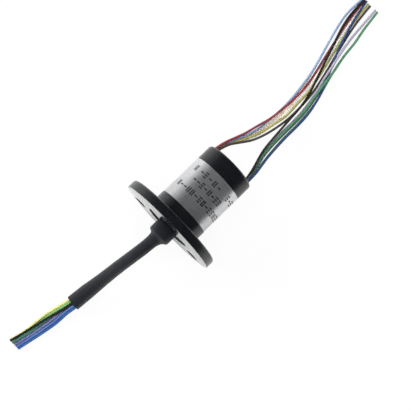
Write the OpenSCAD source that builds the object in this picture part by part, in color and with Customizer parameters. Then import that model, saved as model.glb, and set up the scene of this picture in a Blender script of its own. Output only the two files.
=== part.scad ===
// Miniature flanged slip ring with twelve circuits.
// The axis runs along X: the mounting face of the flange is at x = 0, the stationary leads leave
// towards +X and the rotating leads leave towards -X. Z is up. All sizes are in millimetres.

/* [Flange] */
// Diameter of the mounting flange
flange_d = 24.6; // [23.6:0.1:30]
// Thickness of the mounting flange
flange_t = 2.2; // [2:0.1:3.4]
// Rounding of the flange's rear edge
flange_edge = 0.6; // [0.2:0.1:1.2]
// Diameter of the circle that the mounting holes lie on
bolt_circle_d = 18.8; // [18:0.1:19.6]
// Diameter of each mounting hole
bolt_hole_d = 3.0; // [2:0.1:3.2]
// Number of mounting holes
bolt_count = 3; // [2:1:6]

/* [Body] */
// Diameter of the collar next to the flange
neck_d = 12.7; // [12.6:0.1:14]
// Length of the collar next to the flange
neck_len = 2.8; // [2.4:0.1:4]
// Diameter of the body over its foil band
body_d = 12.5; // [12.4:0.1:12.6]
// Length of the foil band
band_len = 10.5; // [10.3:0.1:14]
// Thickness of the foil band
band_t = 0.1; // [0.05:0.01:0.15]
// Bore of the barrel under the band
barrel_bore_d = 10.9; // [10.86:0.01:11.2]

/* [End cap] */
// Length of the end cap behind the band
cap_len = 4.0; // [3.9:0.1:6]
// Rounding of the end cap's rear edge
cap_edge = 0.7; // [0.2:0.1:0.8]
// Length of the cap's spigot inside the barrel
spigot_len = 1.4; // [0.8:0.1:1.5]
// Wall of the cap's spigot
spigot_wall = 0.6; // [0.4:0.05:0.7]
// Width of each lead slot across the cap, from its inner to its outer side
slot_w = 1.6; // [1.3:0.1:1.6]
// Height of each lead slot
slot_h = 2.2; // [2:0.1:2.4]
// Distance of the lead slots from the axis
slot_y = 4.8; // [4.7:0.05:4.85]

/* [Front bearing] */
// Bore of the front bearing
front_bore_d = 6.0; // [5.4:0.1:6.2]
// Outer diameter of the front bearing
front_outer_d = 10.0; // [9.8:0.1:10.4]
// Width of the front bearing
front_w = 2.5; // [2.2:0.1:2.6]
// Diameter of each front ball
front_ball_d = 1.2; // [1:0.05:1.3]
// Number of front balls
front_ball_count = 9; // [6:1:10]

/* [Rear bearing] */
// Bore of the rear bearing
rear_bore_d = 3.0; // [2.8:0.1:3.1]
// Outer diameter of the rear bearing
rear_outer_d = 6.0; // [5.8:0.1:6.4]
// Width of the rear bearing
rear_w = 2.0; // [1.7:0.1:2]
// Diameter of each rear ball
rear_ball_d = 0.8; // [0.6:0.05:0.9]
// Number of rear balls
rear_ball_count = 7; // [5:1:8]

/* [Rotor] */
// Diameter of the rotor's front disc
disc_d = 11.0; // [10.6:0.1:11.2]
// Thickness of the rotor's front disc
disc_t = 0.7; // [0.5:0.05:0.8]
// Depth of the disc's face below the flange's front face
disc_step = 0.2; // [0.1:0.05:0.3]
// Diameter of the stub that carries the sleeve
stub_d = 4.9; // [4.4:0.1:4.9]
// Length of the stub in front of the disc
stub_len = 3.0; // [2.4:0.1:3]
// Bore of the stub, which the rotating leads fill
lead_bore_d = 2.5; // [2.44:0.01:2.8]
// Diameter of the core that the contact rings are stacked on
core_d = 4.2; // [3.8:0.1:4.4]

/* [Contact rings] */
// Outer diameter of each contact ring
ring_d = 6.2; // [6:0.05:6.4]
// Width of each contact ring
ring_w = 0.5; // [0.45:0.01:0.54]
// Distance from one contact ring to the next
ring_pitch = 0.8; // [0.76:0.01:0.81]
// Depth of the groove that the brushes run in
groove_depth = 0.16; // [0.1:0.01:0.2]
// Height of the insulating barriers above the rings
barrier_h = 0.25; // [0.15:0.01:0.3]

/* [Brushes] */
// Diameter of the brush wire
brush_d = 0.2; // [0.14:0.01:0.22]
// Reach of each brush past the axis
brush_reach = 0.8; // [0.4:0.1:1.2]
// Thickness of each brush board
board_t = 0.6; // [0.5:0.05:0.7]
// Height of each brush board
board_h = 4.4; // [3.8:0.1:4.5]
// Distance of each brush board's inner face from the axis
board_y = 4.3; // [4.2:0.05:4.35]

/* [Leads] */
// Diameter of each lead over its insulation
lead_d = 0.55; // [0.5:0.01:0.56]
// Outer diameter of the shrink sleeve over the stub
sleeve_d = 5.34; // [5.2:0.02:5.6]

/* [Hidden] */
// Number of circuits: one contact ring, one brush, one stationary and one rotating lead for each
ring_count = 12;

// Colours of the leads, in the order of the circuits
lead_colours = [
    "black", "brown", "red", "orange", "yellow", "green",
    "blue", "violet", "grey", "white", "light_green", "light_blue"
];

$fn = 96;

// Clearances: a running gap between rotor and stator, a slip fit between pieces that are joined,
// the gap between a contact ring's groove and the brush that rides in it, and a rotating face gap
run_gap = 0.1;
slip = 0.01;
brush_gap = 0.02;
face_gap = 0.2;

// Positions along the axis, from the flange's front face to the cap's rear face
front_x = -flange_t;
disc_x = front_x + disc_step;
disc_back_x = disc_x + disc_t;
front_race_x = disc_back_x + face_gap;
front_race_back_x = front_race_x + front_w;
shoulder_t = 0.5;
barrel_x = front_race_back_x + shoulder_t;
cap_x = neck_len + band_len;
end_x = cap_x + cap_len;
cap_wall = 1.2;
wall_x = end_x - cap_wall;
clip_t = 0.3;
clip_gap = 0.05;
seat_lip = 0.4;
rear_race_back_x = wall_x - seat_lip;
rear_race_x = rear_race_back_x - rear_w;
clip_x = rear_race_back_x + clip_gap;
tail_x = clip_x + clip_t + 0.3;

// The stack of rings and barriers, between the front bearing and the rear neck of the core
first_ring_x = front_race_back_x + 1.0;
stack_end_x = first_ring_x + (ring_count - 1) * ring_pitch + ring_w + 0.6;
barrier_d = ring_d + 2 * barrier_h;
neck_core_d = rear_bore_d + 0.8;

// Radii of the housing
barrel_r = body_d / 2 - band_t;
barrel_bore_r = barrel_bore_d / 2;
recess_r = disc_d / 2 + run_gap;
tail_r = rear_bore_d / 2 - slip;
boss_wall = 0.8;
boss_r = rear_outer_d / 2 + boss_wall;
clip_r = 2.1;
clip_groove_r = 1.15;

// Paint for each lead, in the same order
lead_paint = [
    [0.06, 0.06, 0.05], [0.22, 0.16, 0.12], [0.50, 0.06, 0.10], [0.85, 0.40, 0.12],
    [0.72, 0.68, 0.25], [0.15, 0.45, 0.25], [0.12, 0.22, 0.52], [0.48, 0.40, 0.62],
    [0.45, 0.46, 0.48], [0.90, 0.90, 0.86], [0.40, 0.72, 0.35], [0.55, 0.65, 0.85]
];

// The stationary leads. They leave the cap as two stacks, drop to the level of the flange's rim
// and run on along it. Each entry is a distance sideways and a layer in the bundle, counted up
// from the lowest lead, at each of the stations along the axis.
lead_level = -flange_d / 2 + lead_d / 2;
layer_pitch = 0.6;
drop_start_x = 18;
drop_end_x = 43;
drop_start_z = -0.6;
stator_stations = [end_x, 20, 24, 28, 32, 36, 40, 44, 48, 52, 56, 60, 64, 69];
stator_routes = [
    // black
    [[-4.5, 2], [-3.9, 2], [-2.7, 2], [-2.2, 1.5], [-1.9, 1], [-1.6, 1], [-1.3, 1.1],
     [-0.5, 1.1], [0.9, 1.1], [2.3, 1.1], [3.7, 1.1], [5.1, 1], [6, 1.2], [6.3, 2]],
    // brown
    [[4.5, 2], [3.65, 2], [1.05, 1.8], [-0.2, 0.8], [-0.9, 0.3], [-1.3, 0], [-1.3, 0],
     [-1, 0], [-0.2, 0], [0.8, 0], [1.9, 0], [2.9, 0], [3.7, 0], [4.3, 0]],
    // red
    [[5.1, 2], [4.5, 2], [3.1, 2], [2.3, 1.6], [1.55, 1.1], [1.25, 1], [1.05, 1],
     [1.15, 1], [1.85, 0], [2.85, 0], [3.8, 0], [4.75, 0], [5.5, 0], [6.1, 0]],
    // orange
    [[5.1, 0], [4.45, 0], [2.6, 0], [1.25, 0], [0.9, 0], [0.75, 0], [0.9, 0],
     [1.6, 0], [2.6, 0], [3.75, 0], [5, 0], [6.1, 0], [6.8, 0], [6.7, 0]],
    // yellow
    [[4.5, 1], [3.7, 1], [2.05, 1.2], [0.65, 1], [0, 0.9], [-0.5, 0.2], [-0.3, 0],
     [-0.1, 0], [0.65, 0], [1.6, 0], [2.6, 0], [3.55, 0], [4.3, 0], [4.9, 0]],
    // green
    [[-4.5, 1], [-4, 1], [-3.1, 1.1], [-2.9, 1], [-2.8, 1], [-2.8, 1], [-2.6, 1],
     [-1.95, 1.2], [-1.25, 2.1], [-0.7, 1.6], [0.15, 1], [0.6, 1], [1.4, 1], [2.1, 1]],
    // blue
    [[-5.1, 2], [-5, 1.9], [-4.4, 1.3], [-4.1, 1.05], [-3.95, 1], [-3.95, 1], [-3.7, 1],
     [-2.9, 1.05], [-1.5, 1], [0.3, 1], [2.1, 1], [3.4, 1], [4.6, 1], [5.7, 1]],
    // violet
    [[-4.5, 0], [-4, 0], [-3, 0.1], [-2.6, 0], [-2.5, 0], [-2.5, 0], [-2.3, 0],
     [-1.7, 0], [-0.6, 1.3], [0.3, 2], [1.2, 1.6], [1.9, 1], [2.3, 1], [2.75, 1]],
    // grey
    [[-5.1, 0], [-4.6, 0], [-3.6, 0.1], [-3.2, 0], [-3.1, 0], [-3.1, 0], [-2.9, 0],
     [-2.3, 0], [-1.1, 0], [0.15, 0], [1.2, 0], [1.9, 0], [2.3, 0], [2.75, 0]],
    // white
    [[4.5, 0], [3.8, 0], [1.95, 0.2], [0.65, 0], [0.3, 0], [0.15, 0], [0.3, 0],
     [0.55, 0], [1.25, 0], [2.25, 0], [3.2, 0], [4.15, 0], [4.9, 0], [5.5, 0]],
    // light green
    [[-5.1, 1], [-4.9, 0.9], [-4.3, 0.2], [-3.95, 0], [-3.75, 0], [-3.75, 0], [-3.5, 0],
     [-2.95, 0], [-1.78, 0], [-0.7, 0], [0.1, 0], [0.6, 0], [1.4, 0], [2.1, 0]],
    // light blue
    [[5.1, 1], [4.45, 1], [2.7, 1.1], [1.75, 0.6], [1.5, 0.1], [1.35, 0], [1.5, 0.25],
     [2, 1], [2.7, 1], [3.8, 1], [5, 1], [6.1, 1], [6.8, 1], [6.7, 1.1]]
];

// The shrink sleeve's centre line, with its outer and inner radius at each point
sleeve_t = 0.15;
sleeve_start_x = disc_x - 0.2;
stub_end_x = disc_x - stub_len;
sleeve_line = [
    [sleeve_start_x, 0, 0], [stub_end_x, 0, 0], [-6.2, 0.1, 0], [-9, 0.33, -0.45],
    [-12, 0.73, -1.6], [-15, 1.15, -3.4], [-18, 1.52, -5.5], [-21, 1.85, -7.6],
    [-24, 2.2, -9.3], [-26.5, 2.45, -10.2], [-28.3, 2.6, -10.5]
];
sleeve_radii = [
    sleeve_d / 2, sleeve_d / 2, 1.55, 1.43, 1.42, 1.43, 1.47, 1.57, 1.74, 1.78, 1.8
];

// The rotating leads. Inside the sleeve they lie as a round bundle of nine round three, and
// flatten into rows towards its mouth. Each entry is the lead's angle and radius in the round
// bundle, and then its place in the rows. Past the sleeve, each entry is a distance sideways
// and a layer in the bundle at each station.
outer_ring_r = 0.87;
inner_ring_r = 0.33;
lead_start_x = -0.5;
bundle = [
    [90, outer_ring_r, [0, 0.5]],        // black
    [248.5, outer_ring_r, [-0.57, -0.5]], // brown
    [291.5, outer_ring_r, [0.57, -0.5]], // red
    [330, outer_ring_r, [0.86, 0]],      // orange
    [8.5, outer_ring_r, [1.14, 0.5]],    // yellow
    [30, inner_ring_r, [0.29, 0]],       // green
    [171.5, outer_ring_r, [-1.14, 0.5]], // blue
    [150, inner_ring_r, [-0.29, 0]],     // violet
    [210, outer_ring_r, [-0.86, 0]],     // grey
    [270, inner_ring_r, [0, -0.5]],      // white
    [51.5, outer_ring_r, [0.57, 0.5]],   // light green
    [128.5, outer_ring_r, [-0.57, 0.5]]  // light blue
];
flatten_start_x = -18;
flatten_end_x = -28.3;
fan_stations = [-31, -34, -38, -41, -44];
fan_lift = [0.5, 0.1, 0, 0, 0];
fan_routes = [
    [[3.1, 2.3], [4, 2.2], [4.95, 2.1], [5.6, 2.1], [6.35, 2]],              // black
    [[2.5, 0], [2.95, 0], [3.4, 0], [4, 0], [4.7, 0]],                       // brown
    [[3.7, 0], [4.15, 0], [4.6, 0], [5.2, 0], [5.9, 0]],                     // red
    [[4, 1], [4.7, 0.3], [5.2, 0.1], [5.8, 0], [6.5, 0]],                    // orange
    [[4.35, 2], [5, 1.3], [5.45, 1.1], [5.75, 1], [6.2, 1]],                 // yellow
    [[3.4, 1], [3.8, 1], [4.35, 1.5], [4.95, 2], [5.7, 2]],                  // green
    [[1.85, 2], [1.97, 1.3], [2.6, 1], [3.2, 1], [3.8, 1]],                  // blue
    [[2.8, 1], [3.2, 1], [3.8, 1], [4.4, 1], [5, 1]],                        // violet
    [[2.2, 1], [2.35, 0.3], [2.8, 0], [3.4, 0], [4.1, 0]],                   // grey
    [[3.1, 0], [3.55, 0], [4, 0], [4.6, 0], [5.3, 0]],                       // white
    [[3.75, 2], [4.4, 1.2], [4.85, 1], [5.15, 1], [5.6, 1]],                 // light green
    [[2.45, 2], [2.58, 1.25], [3.2, 1], [3.8, 1], [4.4, 1]]                  // light blue
];

// Names of the contact rings, such as contact_ring_01
function ring_name(i) = str("contact_ring_", i < 10 ? "0" : "", i);

// Smooth step from 0 to 1
function smooth(t) = let (c = min(1, max(0, t))) c * c * (3 - 2 * c);
function smooth_rate(t) = let (c = min(1, max(0, t))) 6 * c * (1 - c);

// Height and slope of the lowest stationary lead at a distance along the axis
drop_len = drop_end_x - drop_start_x;
function drop_z(x) = drop_start_z + (lead_level - drop_start_z) * smooth((x - drop_start_x) / drop_len);
function drop_slope(x) =
    (lead_level - drop_start_z) * smooth_rate((x - drop_start_x) / drop_len) / drop_len;

// A lead's place in the stationary bundle: its layers are stacked square to the bundle's run
function in_drop(x, side, layer) = let (
    slope = drop_slope(x),
    up = layer * layer_pitch / sqrt(1 + slope * slope)
) [x - slope * up, side, drop_z(x) + up];

// A unit vector, and the sideways and upward directions of a line that runs along t
function unit(v) = v / norm(v);
function side_of(t) = let (s = unit(cross([0, 0, 1], t))) s[1] < 0 ? -s : s;
function up_of(t) = let (u = cross(t, side_of(t))) u[2] < 0 ? -u : u;

// Direction of a line of points at point i, which starts along first
function direction(p, i, first) =
    i == 0 ? first : unit(p[min(i + 1, len(p) - 1)] - p[i - 1]);

// Points of a smooth curve through p, with one more point half way along each stretch after start
function at(p, i) = i < 0 ? 2 * p[0] - p[1] : i >= len(p) ? 2 * p[len(p) - 1] - p[len(p) - 2] : p[i];
function half_way(p, i) = (9 * (at(p, i) + at(p, i + 1)) - at(p, i - 1) - at(p, i + 2)) / 16;
function smoothed(p, start) = [
    for (i = [0 : len(p) - 1])
        for (q = i >= start && i < len(p) - 1 ? [p[i], half_way(p, i)] : [p[i]]) q
];

// One ring of a tube, square to the direction t
function tube_ring(c, t, r, sides) = [
    for (k = [0 : sides - 1])
        let (a = 360 * (k + 0.5) / sides)
            c + r * (cos(a) * side_of(t) + sin(a) * up_of(t))
];

// The route of rotating lead i: through the stub and the sleeve, and then out in its fan
function mixed(a, b, w) = a * (1 - w) + b * w;
function bundle_offset(i, x) = let (
    w = smooth((flatten_start_x - x) / (flatten_start_x - flatten_end_x)),
    b = bundle[i],
    spread = 1 + 0.5 * w * (1 - w)
) spread * mixed(b[1] * [cos(b[0]), sin(b[0])], b[2], w);
bundle_line = concat([[lead_start_x, 0, 0]], sleeve_line);
function in_sleeve(i, j) = let (
    c = bundle_line[j],
    t = direction(bundle_line, j, [-1, 0, 0]),
    o = bundle_offset(i, c[0])
) c + o[0] * side_of(t) + o[1] * up_of(t);
function rotor_route(i) = concat(
    [for (j = [0 : len(bundle_line) - 1]) in_sleeve(i, j)],
    [for (j = [0 : len(fan_stations) - 1])
        let (f = fan_routes[i][j])
            [fan_stations[j], f[0], lead_level + fan_lift[j] + f[1] * layer_pitch]]
);
function stator_route(i) = [
    for (j = [0 : len(stator_stations) - 1])
        let (s = stator_routes[i][j])
            in_drop(stator_stations[j], s[0], s[1])
];

// A solid tube swept along a route of points, starting along first and smoothed after start
module swept_tube(route, r, sides, first, start) {
    p = smoothed(route, start);
    n = len(p);
    points = [
        for (i = [0 : n - 1])
            for (q = tube_ring(p[i], direction(p, i, first), r, sides)) q
    ];
    walls = [
        for (i = [0 : n - 2], k = [0 : sides - 1])
            let (a = i * sides + k, b = i * sides + (k + 1) % sides)
                for (f = [[a, b, b + sides], [a, b + sides, a + sides]]) f
    ];
    near_end = [for (k = [0 : sides - 1]) sides - 1 - k];
    far_end = [for (k = [0 : sides - 1]) (n - 1) * sides + k];
    flip = side_of(first) * cross(up_of(first), first) < 0;
    faces = concat([near_end, far_end], walls);
    polyhedron(points, flip ? faces : [for (f = faces) [for (j = [len(f) - 1 : -1 : 0]) f[j]]]);
}

// A hollow tube swept along a line, with its own radius at each point
module swept_sleeve(line, radii, wall, sides, first) {
    n = len(line);
    function rings(inset) = [
        for (i = [0 : n - 1])
            for (q = tube_ring(line[i], direction(line, i, first), radii[i] - inset, sides)) q
    ];
    inner = n * sides;
    function next(k) = (k + 1) % sides;
    outer_walls = [
        for (i = [0 : n - 2], k = [0 : sides - 1])
            let (a = i * sides + k, b = i * sides + next(k))
                for (f = [[a, b, b + sides], [a, b + sides, a + sides]]) f
    ];
    inner_walls = [for (f = outer_walls) [inner + f[2], inner + f[1], inner + f[0]]];
    last = (n - 1) * sides;
    rims = [
        for (k = [0 : sides - 1])
            for (f = [
                [k, inner + k, inner + next(k)], [k, inner + next(k), next(k)],
                [last + k, last + next(k), inner + last + next(k)],
                [last + k, inner + last + next(k), inner + last + k]
            ]) f
    ];
    faces = concat(outer_walls, inner_walls, rims);
    flip = side_of(first) * cross(up_of(first), first) < 0;
    polyhedron(
        concat(rings(0), rings(wall)),
        flip ? faces : [for (f = faces) [f[2], f[1], f[0]]]
    );
}

// A shape turned round the X axis, from an outline of [distance along X, radius]
module turned(outline) {
    rotate([0, 90, 0])
        rotate_extrude()
            polygon([for (p = outline) [p[1], p[0]]]);
}

// A plain cylinder along X, from x0 to x1
module along_x(x0, x1, r) {
    translate([x0, 0, 0])
        rotate([0, 90, 0])
            cylinder(h = x1 - x0, r = r);
}

// Outline of a circular corner of radius e round [x, r], swept from one angle to another
function corner(x, r, e, from, to) = [
    for (i = [0 : 6])
        let (a = from + (to - from) * i / 6)
            [x + e * cos(a), r + e * sin(a)]
];

// Flange, collar and barrel, moulded as one piece, with the seat of the front bearing
module flange_housing() {
    seat_r = front_outer_d / 2 + slip;
    flange_r = flange_d / 2;
    front_chamfer = 0.12;
    lip_r = front_outer_d / 2 - 0.7;
    color([0.08, 0.08, 0.09])
    difference() {
        turned(concat(
            [[front_x, recess_r], [front_x, flange_r - front_chamfer]],
            [[front_x + front_chamfer, flange_r]],
            corner(-flange_edge, flange_r - flange_edge, flange_edge, 90, 0),
            [[0, neck_d / 2], [neck_len, neck_d / 2], [neck_len, barrel_r], [cap_x, barrel_r]],
            [[cap_x, barrel_bore_r], [barrel_x, barrel_bore_r], [barrel_x, lip_r]],
            [[front_race_back_x, lip_r], [front_race_back_x, seat_r], [front_race_x, seat_r]],
            [[front_race_x, recess_r]]
        ));
        for (i = [0 : bolt_count - 1])
            rotate([360 * i / bolt_count, 0, 0])
                translate([0, 0, bolt_circle_d / 2])
                    along_x(front_x - 1, 1, bolt_hole_d / 2);
    }
}

// Foil band wrapped round the barrel
module label_band() {
    band_end = 0.1;
    color([0.75, 0.76, 0.78])
    turned([
        [neck_len, barrel_r], [neck_len, body_d / 2],
        [cap_x - band_end, body_d / 2], [cap_x - band_end, barrel_r]
    ]);
}

// Room for a brush board, with a slip fit all round
module board_room(side, x0, x1) {
    y0 = side > 0 ? board_y : -board_y - board_t;
    translate([x0, y0 - slip, -board_h / 2 - slip])
        cube([x1 - x0, board_t + 2 * slip, board_h + 2 * slip]);
}

// Lead slot with rounded ends, at the +Y or -Y side of the cap
module lead_slot(side, x0, x1, inset) {
    r = slot_w / 2 - inset;
    reach = slot_h / 2 - inset - 0.5 * r;
    intersection() {
        translate([x0, side * slot_y - r, -slot_h / 2 + inset])
            cube([x1 - x0, 2 * r, slot_h - 2 * inset]);
        translate([x0, side * slot_y, 0])
            rotate([0, 90, 0])
                cylinder(h = x1 - x0, r = norm([r, reach]));
    }
}

// End cap with its spigot, the boss of the rear bearing and two lead slots
module end_cap() {
    spigot_r = barrel_bore_r - slip;
    cap_r = body_d / 2;
    seat_r = rear_outer_d / 2 + slip;
    lip_r = clip_r + 0.2;
    pocket_end = tail_x + 0.2;
    color([0.07, 0.07, 0.08])
    difference() {
        union() {
            turned(concat(
                [[cap_x - spigot_len, spigot_r - spigot_wall], [cap_x - spigot_len, spigot_r]],
                [[cap_x, spigot_r], [cap_x, cap_r]],
                corner(end_x - cap_edge, cap_r - cap_edge, cap_edge, 90, 0),
                [[end_x, 0], [pocket_end, 0], [pocket_end, lip_r], [rear_race_back_x, lip_r]],
                [[rear_race_back_x, seat_r], [rear_race_x - 0.2, seat_r]],
                [[rear_race_x - 0.2, boss_r], [wall_x, boss_r], [wall_x, barrel_bore_r]],
                [[cap_x, barrel_bore_r], [cap_x, spigot_r - spigot_wall]]
            ));
        }
        for (side = [-1, 1]) {
            lead_slot(side, wall_x - 0.1, end_x + 0.1, 0);
            board_room(side, cap_x - spigot_len - 0.1, wall_x);
        }
    }
}

// Potting that seals a lead slot round the ends of the leads
module wire_potting(side) {
    color([0.13, 0.13, 0.14])
    lead_slot(side, wall_x, end_x, slip);
}

// Ball bearing parts: the races share the groove that the balls run in
function pitch_r(bore_d, outer_d) = (bore_d + outer_d) / 4;
function groove_r(ball_d) = ball_d / 2 + 0.02;
function race_gap(ball_d) = 0.29 * ball_d;

module outer_race(x, w, bore_d, outer_d, ball_d) {
    edge = 0.15;
    land_r = pitch_r(bore_d, outer_d) + race_gap(ball_d);
    color([0.72, 0.73, 0.75])
    difference() {
        turned([
            [x, land_r], [x, outer_d / 2 - edge], [x + edge, outer_d / 2],
            [x + w - edge, outer_d / 2], [x + w, outer_d / 2 - edge], [x + w, land_r]
        ]);
        ball_track(x + w / 2, bore_d, outer_d, ball_d);
    }
}

module inner_race(x, w, bore_d, outer_d, ball_d) {
    edge = 0.15;
    land_r = pitch_r(bore_d, outer_d) - race_gap(ball_d);
    color([0.70, 0.71, 0.74])
    difference() {
        turned([
            [x, bore_d / 2 + edge], [x, land_r], [x + w, land_r],
            [x + w, bore_d / 2 + edge], [x + w - edge, bore_d / 2], [x + edge, bore_d / 2]
        ]);
        ball_track(x + w / 2, bore_d, outer_d, ball_d);
    }
}

module ball_track(x, bore_d, outer_d, ball_d) {
    translate([x, 0, 0])
        rotate([0, 90, 0])
            rotate_extrude()
                translate([pitch_r(bore_d, outer_d), 0])
                    circle(r = groove_r(ball_d));
}

module balls(x, w, bore_d, outer_d, ball_d, count) {
    color([0.80, 0.81, 0.83])
    for (i = [0 : count - 1])
        rotate([360 * i / count, 0, 0])
            translate([x + w / 2, 0, pitch_r(bore_d, outer_d)])
                sphere(d = ball_d);
}

// Snap-in cage: a ring on one side of the balls, with a pocket for each
module cage(x, w, bore_d, outer_d, ball_d, count) {
    p = pitch_r(bore_d, outer_d);
    t = race_gap(ball_d) - run_gap;
    pocket_r = ball_d / 2 + 0.03;
    x0 = x + w / 2;
    x1 = x + w - 0.2;
    color([0.75, 0.62, 0.36])
    difference() {
        turned([[x0, p - t], [x0, p + t], [x1, p + t], [x1, p - t]]);
        for (i = [0 : count - 1])
            rotate([360 * i / count, 0, 0])
                translate([x0, 0, p - 1])
                    cylinder(h = 2, r = pocket_r);
    }
}

// Rotor shaft: stub, front disc, bearing journals and the core that carries the rings
module rotor_shaft() {
    journal_r = front_bore_d / 2 - slip;
    core_r = core_d / 2 - slip;
    neck_r = neck_core_d / 2;
    land_r = front_bore_d / 2 + 0.3;
    bore_r = lead_bore_d / 2;
    mouth = 0.2;
    tip = 0.2;
    bore_end = lead_start_x + 1.3;
    color([0.09, 0.09, 0.10])
    turned([
        [bore_end, 0], [bore_end, bore_r], [stub_end_x + mouth, bore_r],
        [stub_end_x, bore_r + mouth], [stub_end_x, stub_d / 2 - mouth],
        [stub_end_x + mouth, stub_d / 2], [disc_x, stub_d / 2], [disc_x, disc_d / 2],
        [disc_back_x, disc_d / 2], [disc_back_x, land_r], [front_race_x, land_r],
        [front_race_x, journal_r], [front_race_back_x, journal_r],
        [front_race_back_x, core_r], [stack_end_x, core_r], [stack_end_x, neck_r],
        [rear_race_x, neck_r], [rear_race_x, tail_r], [clip_x, tail_r],
        [clip_x, clip_groove_r], [clip_x + clip_t, clip_groove_r],
        [clip_x + clip_t, tail_r], [tail_x - tip, tail_r], [tail_x, tail_r - tip], [tail_x, 0]
    ]);
}

// Potting at the bottom of the stub's bore, which the rotating leads come out of
module rotor_potting() {
    color([0.13, 0.13, 0.14])
    along_x(lead_start_x, lead_start_x + 1.3, lead_bore_d / 2 - slip);
}

// Contact ring i, with the groove that its brush rides in
module contact_ring(i) {
    x0 = first_ring_x + (i - 1) * ring_pitch;
    x1 = x0 + ring_w;
    r = ring_d / 2;
    land = 0.08;
    color([0.86, 0.68, 0.28])
    turned([
        [x0, core_d / 2], [x0, r], [x0 + land, r], [x0 + ring_w / 2, r - groove_depth],
        [x1 - land, r], [x1, r], [x1, core_d / 2]
    ]);
}

// Insulating barriers before, between and behind the contact rings
module ring_spacers() {
    starts = concat(
        [front_race_back_x],
        [for (i = [0 : ring_count - 1]) first_ring_x + i * ring_pitch + ring_w]
    );
    ends = concat(
        [for (i = [0 : ring_count - 1]) first_ring_x + i * ring_pitch],
        [stack_end_x]
    );
    color([0.16, 0.16, 0.17])
    for (i = [0 : ring_count])
        turned([
            [starts[i], core_d / 2], [starts[i], barrier_d / 2],
            [ends[i], barrier_d / 2], [ends[i], core_d / 2]
        ]);
}

// Open retaining clip in the groove behind the rear bearing
module retaining_clip() {
    hold_r = clip_groove_r + slip;
    mouth_w = 1.7;
    side_r = 0.4;
    color([0.60, 0.61, 0.63])
    difference() {
        along_x(clip_x + slip, clip_x + clip_t - slip, clip_r);
        along_x(clip_x - 1, clip_x + 1, hold_r);
        translate([clip_x - 1, -mouth_w / 2, 0])
            cube([2, mouth_w, clip_r + 1]);
        for (side = [-1, 1])
            translate([0, side * clip_groove_r, 0])
                along_x(clip_x - 1, clip_x + 1, side_r);
    }
}

// Brush board on the +Y or -Y side, drilled for the legs of its brushes
module brush_board(side) {
    hole_r = brush_d / 2 + 0.03;
    first = side > 0 ? 0 : 1;
    y0 = side > 0 ? board_y : -board_y - board_t;
    color([0.10, 0.32, 0.18])
    difference() {
        translate([barrel_x, y0, -board_h / 2])
            cube([wall_x - barrel_x, board_t, board_h]);
        for (i = [first : 2 : ring_count - 1], leg = [-1, 1])
            translate([ring_centre(i), y0 - 1, leg * leg_z])
                rotate([-90, 0, 0])
                    cylinder(h = board_t + 2, r = hole_r);
    }
}

// One hairpin brush: a bar behind the board, two legs through it, and two arms that lie in the
// groove of a contact ring, above and below it
bend_r = 0.3;
bar_bend_r = 0.2;
leg_z = 1.4;
arm_z = ring_d / 2 - groove_depth + brush_d / 2 + brush_gap + 0.04;
riser_y = 3.6;
bar_y = board_y + board_t + 0.25;

function ring_centre(i) = first_ring_x + i * ring_pitch + ring_w / 2;

module wire_y(y0, y1, z) {
    translate([0, y0, z])
        rotate([-90, 0, 0])
            cylinder(h = y1 - y0, r = brush_d / 2, $fn = 24);
}

module wire_z(z0, z1, y) {
    translate([0, y, z0])
        cylinder(h = z1 - z0, r = brush_d / 2, $fn = 24);
}

// A quarter bend in the YZ plane round [y, z], from one angle to that angle plus 90
module wire_bend(y, z, r, from) {
    translate([0, y, z])
        rotate([from, 0, 0])
            rotate([90, 0, 90])
                rotate_extrude(angle = 90)
                    translate([r, 0])
                        circle(r = brush_d / 2, $fn = 24);
}

module brush_half() {
    wire_y(-brush_reach, riser_y - bend_r, arm_z);
    wire_bend(riser_y - bend_r, arm_z - bend_r, bend_r, 0);
    wire_z(leg_z + bend_r, arm_z - bend_r, riser_y);
    wire_bend(riser_y + bend_r, leg_z + bend_r, bend_r, 180);
    wire_y(riser_y + bend_r, bar_y - bar_bend_r, leg_z);
    wire_bend(bar_y - bar_bend_r, leg_z - bar_bend_r, bar_bend_r, 0);
    wire_z(0, leg_z - bar_bend_r, bar_y);
}

module brush() {
    brush_half();
    mirror([0, 0, 1])
        brush_half();
}

module brushes(side) {
    first = side > 0 ? 0 : 1;
    color([0.88, 0.72, 0.36])
    for (i = [first : 2 : ring_count - 1])
        translate([ring_centre(i), 0, 0])
            mirror([0, side > 0 ? 0 : 1, 0])
                brush();
}

// Shrink sleeve over the stub and the rotating leads
module heat_shrink_sleeve() {
    color([0.06, 0.06, 0.07])
    swept_sleeve(sleeve_line, sleeve_radii, sleeve_t, 24, [-1, 0, 0]);
}

// Leads
module stator_wire(i) {
    color(lead_paint[i])
    swept_tube(stator_route(i), lead_d / 2, 8, [1, 0, 0], 0);
}

module rotor_wire(i) {
    color(lead_paint[i])
    swept_tube(rotor_route(i), lead_d / 2, 8, [-1, 0, 0], len(sleeve_line));
}

flange_housing();
label_band();
end_cap();
outer_race(front_race_x, front_w, front_bore_d, front_outer_d, front_ball_d);  // front_bearing_outer_race
outer_race(rear_race_x, rear_w, rear_bore_d, rear_outer_d, rear_ball_d);  // rear_bearing_outer_race
brush_board(1);  // brush_board_a
brush_board(-1);  // brush_board_b
brushes(1);  // brushes_a
brushes(-1);  // brushes_b
wire_potting(1);  // wire_potting_a
wire_potting(-1);  // wire_potting_b
rotor_shaft();
ring_spacers();
inner_race(front_race_x, front_w, front_bore_d, front_outer_d, front_ball_d);  // front_bearing_inner_race
inner_race(rear_race_x, rear_w, rear_bore_d, rear_outer_d, rear_ball_d);  // rear_bearing_inner_race
retaining_clip();
rotor_potting();
heat_shrink_sleeve();
balls(front_race_x, front_w, front_bore_d, front_outer_d, front_ball_d, front_ball_count);  // front_balls
cage(front_race_x, front_w, front_bore_d, front_outer_d, front_ball_d, front_ball_count);  // front_cage
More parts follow.
